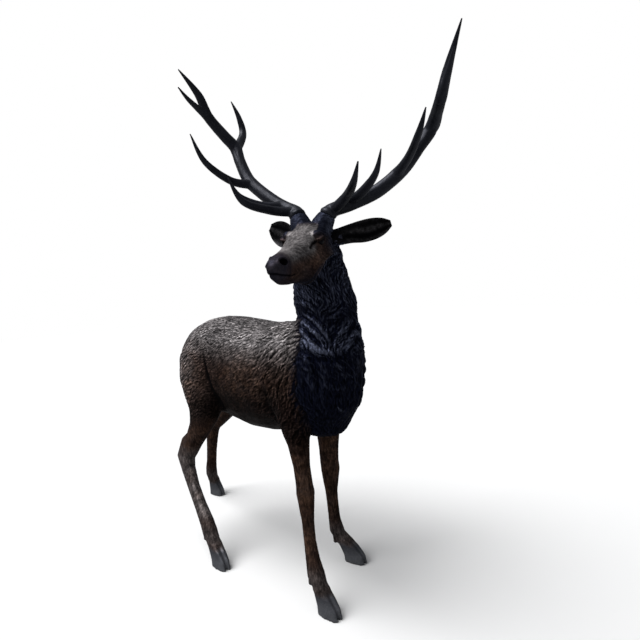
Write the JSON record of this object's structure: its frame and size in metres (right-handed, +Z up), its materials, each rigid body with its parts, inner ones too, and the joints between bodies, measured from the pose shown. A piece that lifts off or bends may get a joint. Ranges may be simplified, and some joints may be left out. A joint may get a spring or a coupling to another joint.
{
  "type": "bronze stag sculpture",
  "caption": "Life-size cast bronze stag that stands on its own hooves and looks to its right, with a thick mane and wide branched antlers.",
  "frame": {"origin": "on the ground below the middle of the sculpture's bounding box", "axes": "+X the way the body faces, +Y the stag's left, +Z up"},
  "size_m": [2.0596, 0.8672, 2.3612],
  "materials": {
    "bronze_brown": "dark brown chemical patina on cast bronze, waxed, with warm rubbed patches and a greyer sheen on the back",
    "bronze_blue_black": "blue-black chemical patina on cast bronze, waxed, satin"
  },
  "bodies": {
    "root": {"stag": "bronze_brown", "antler_left": "bronze_blue_black", "antler_right": "bronze_blue_black"}
  },
  "joints": []
}
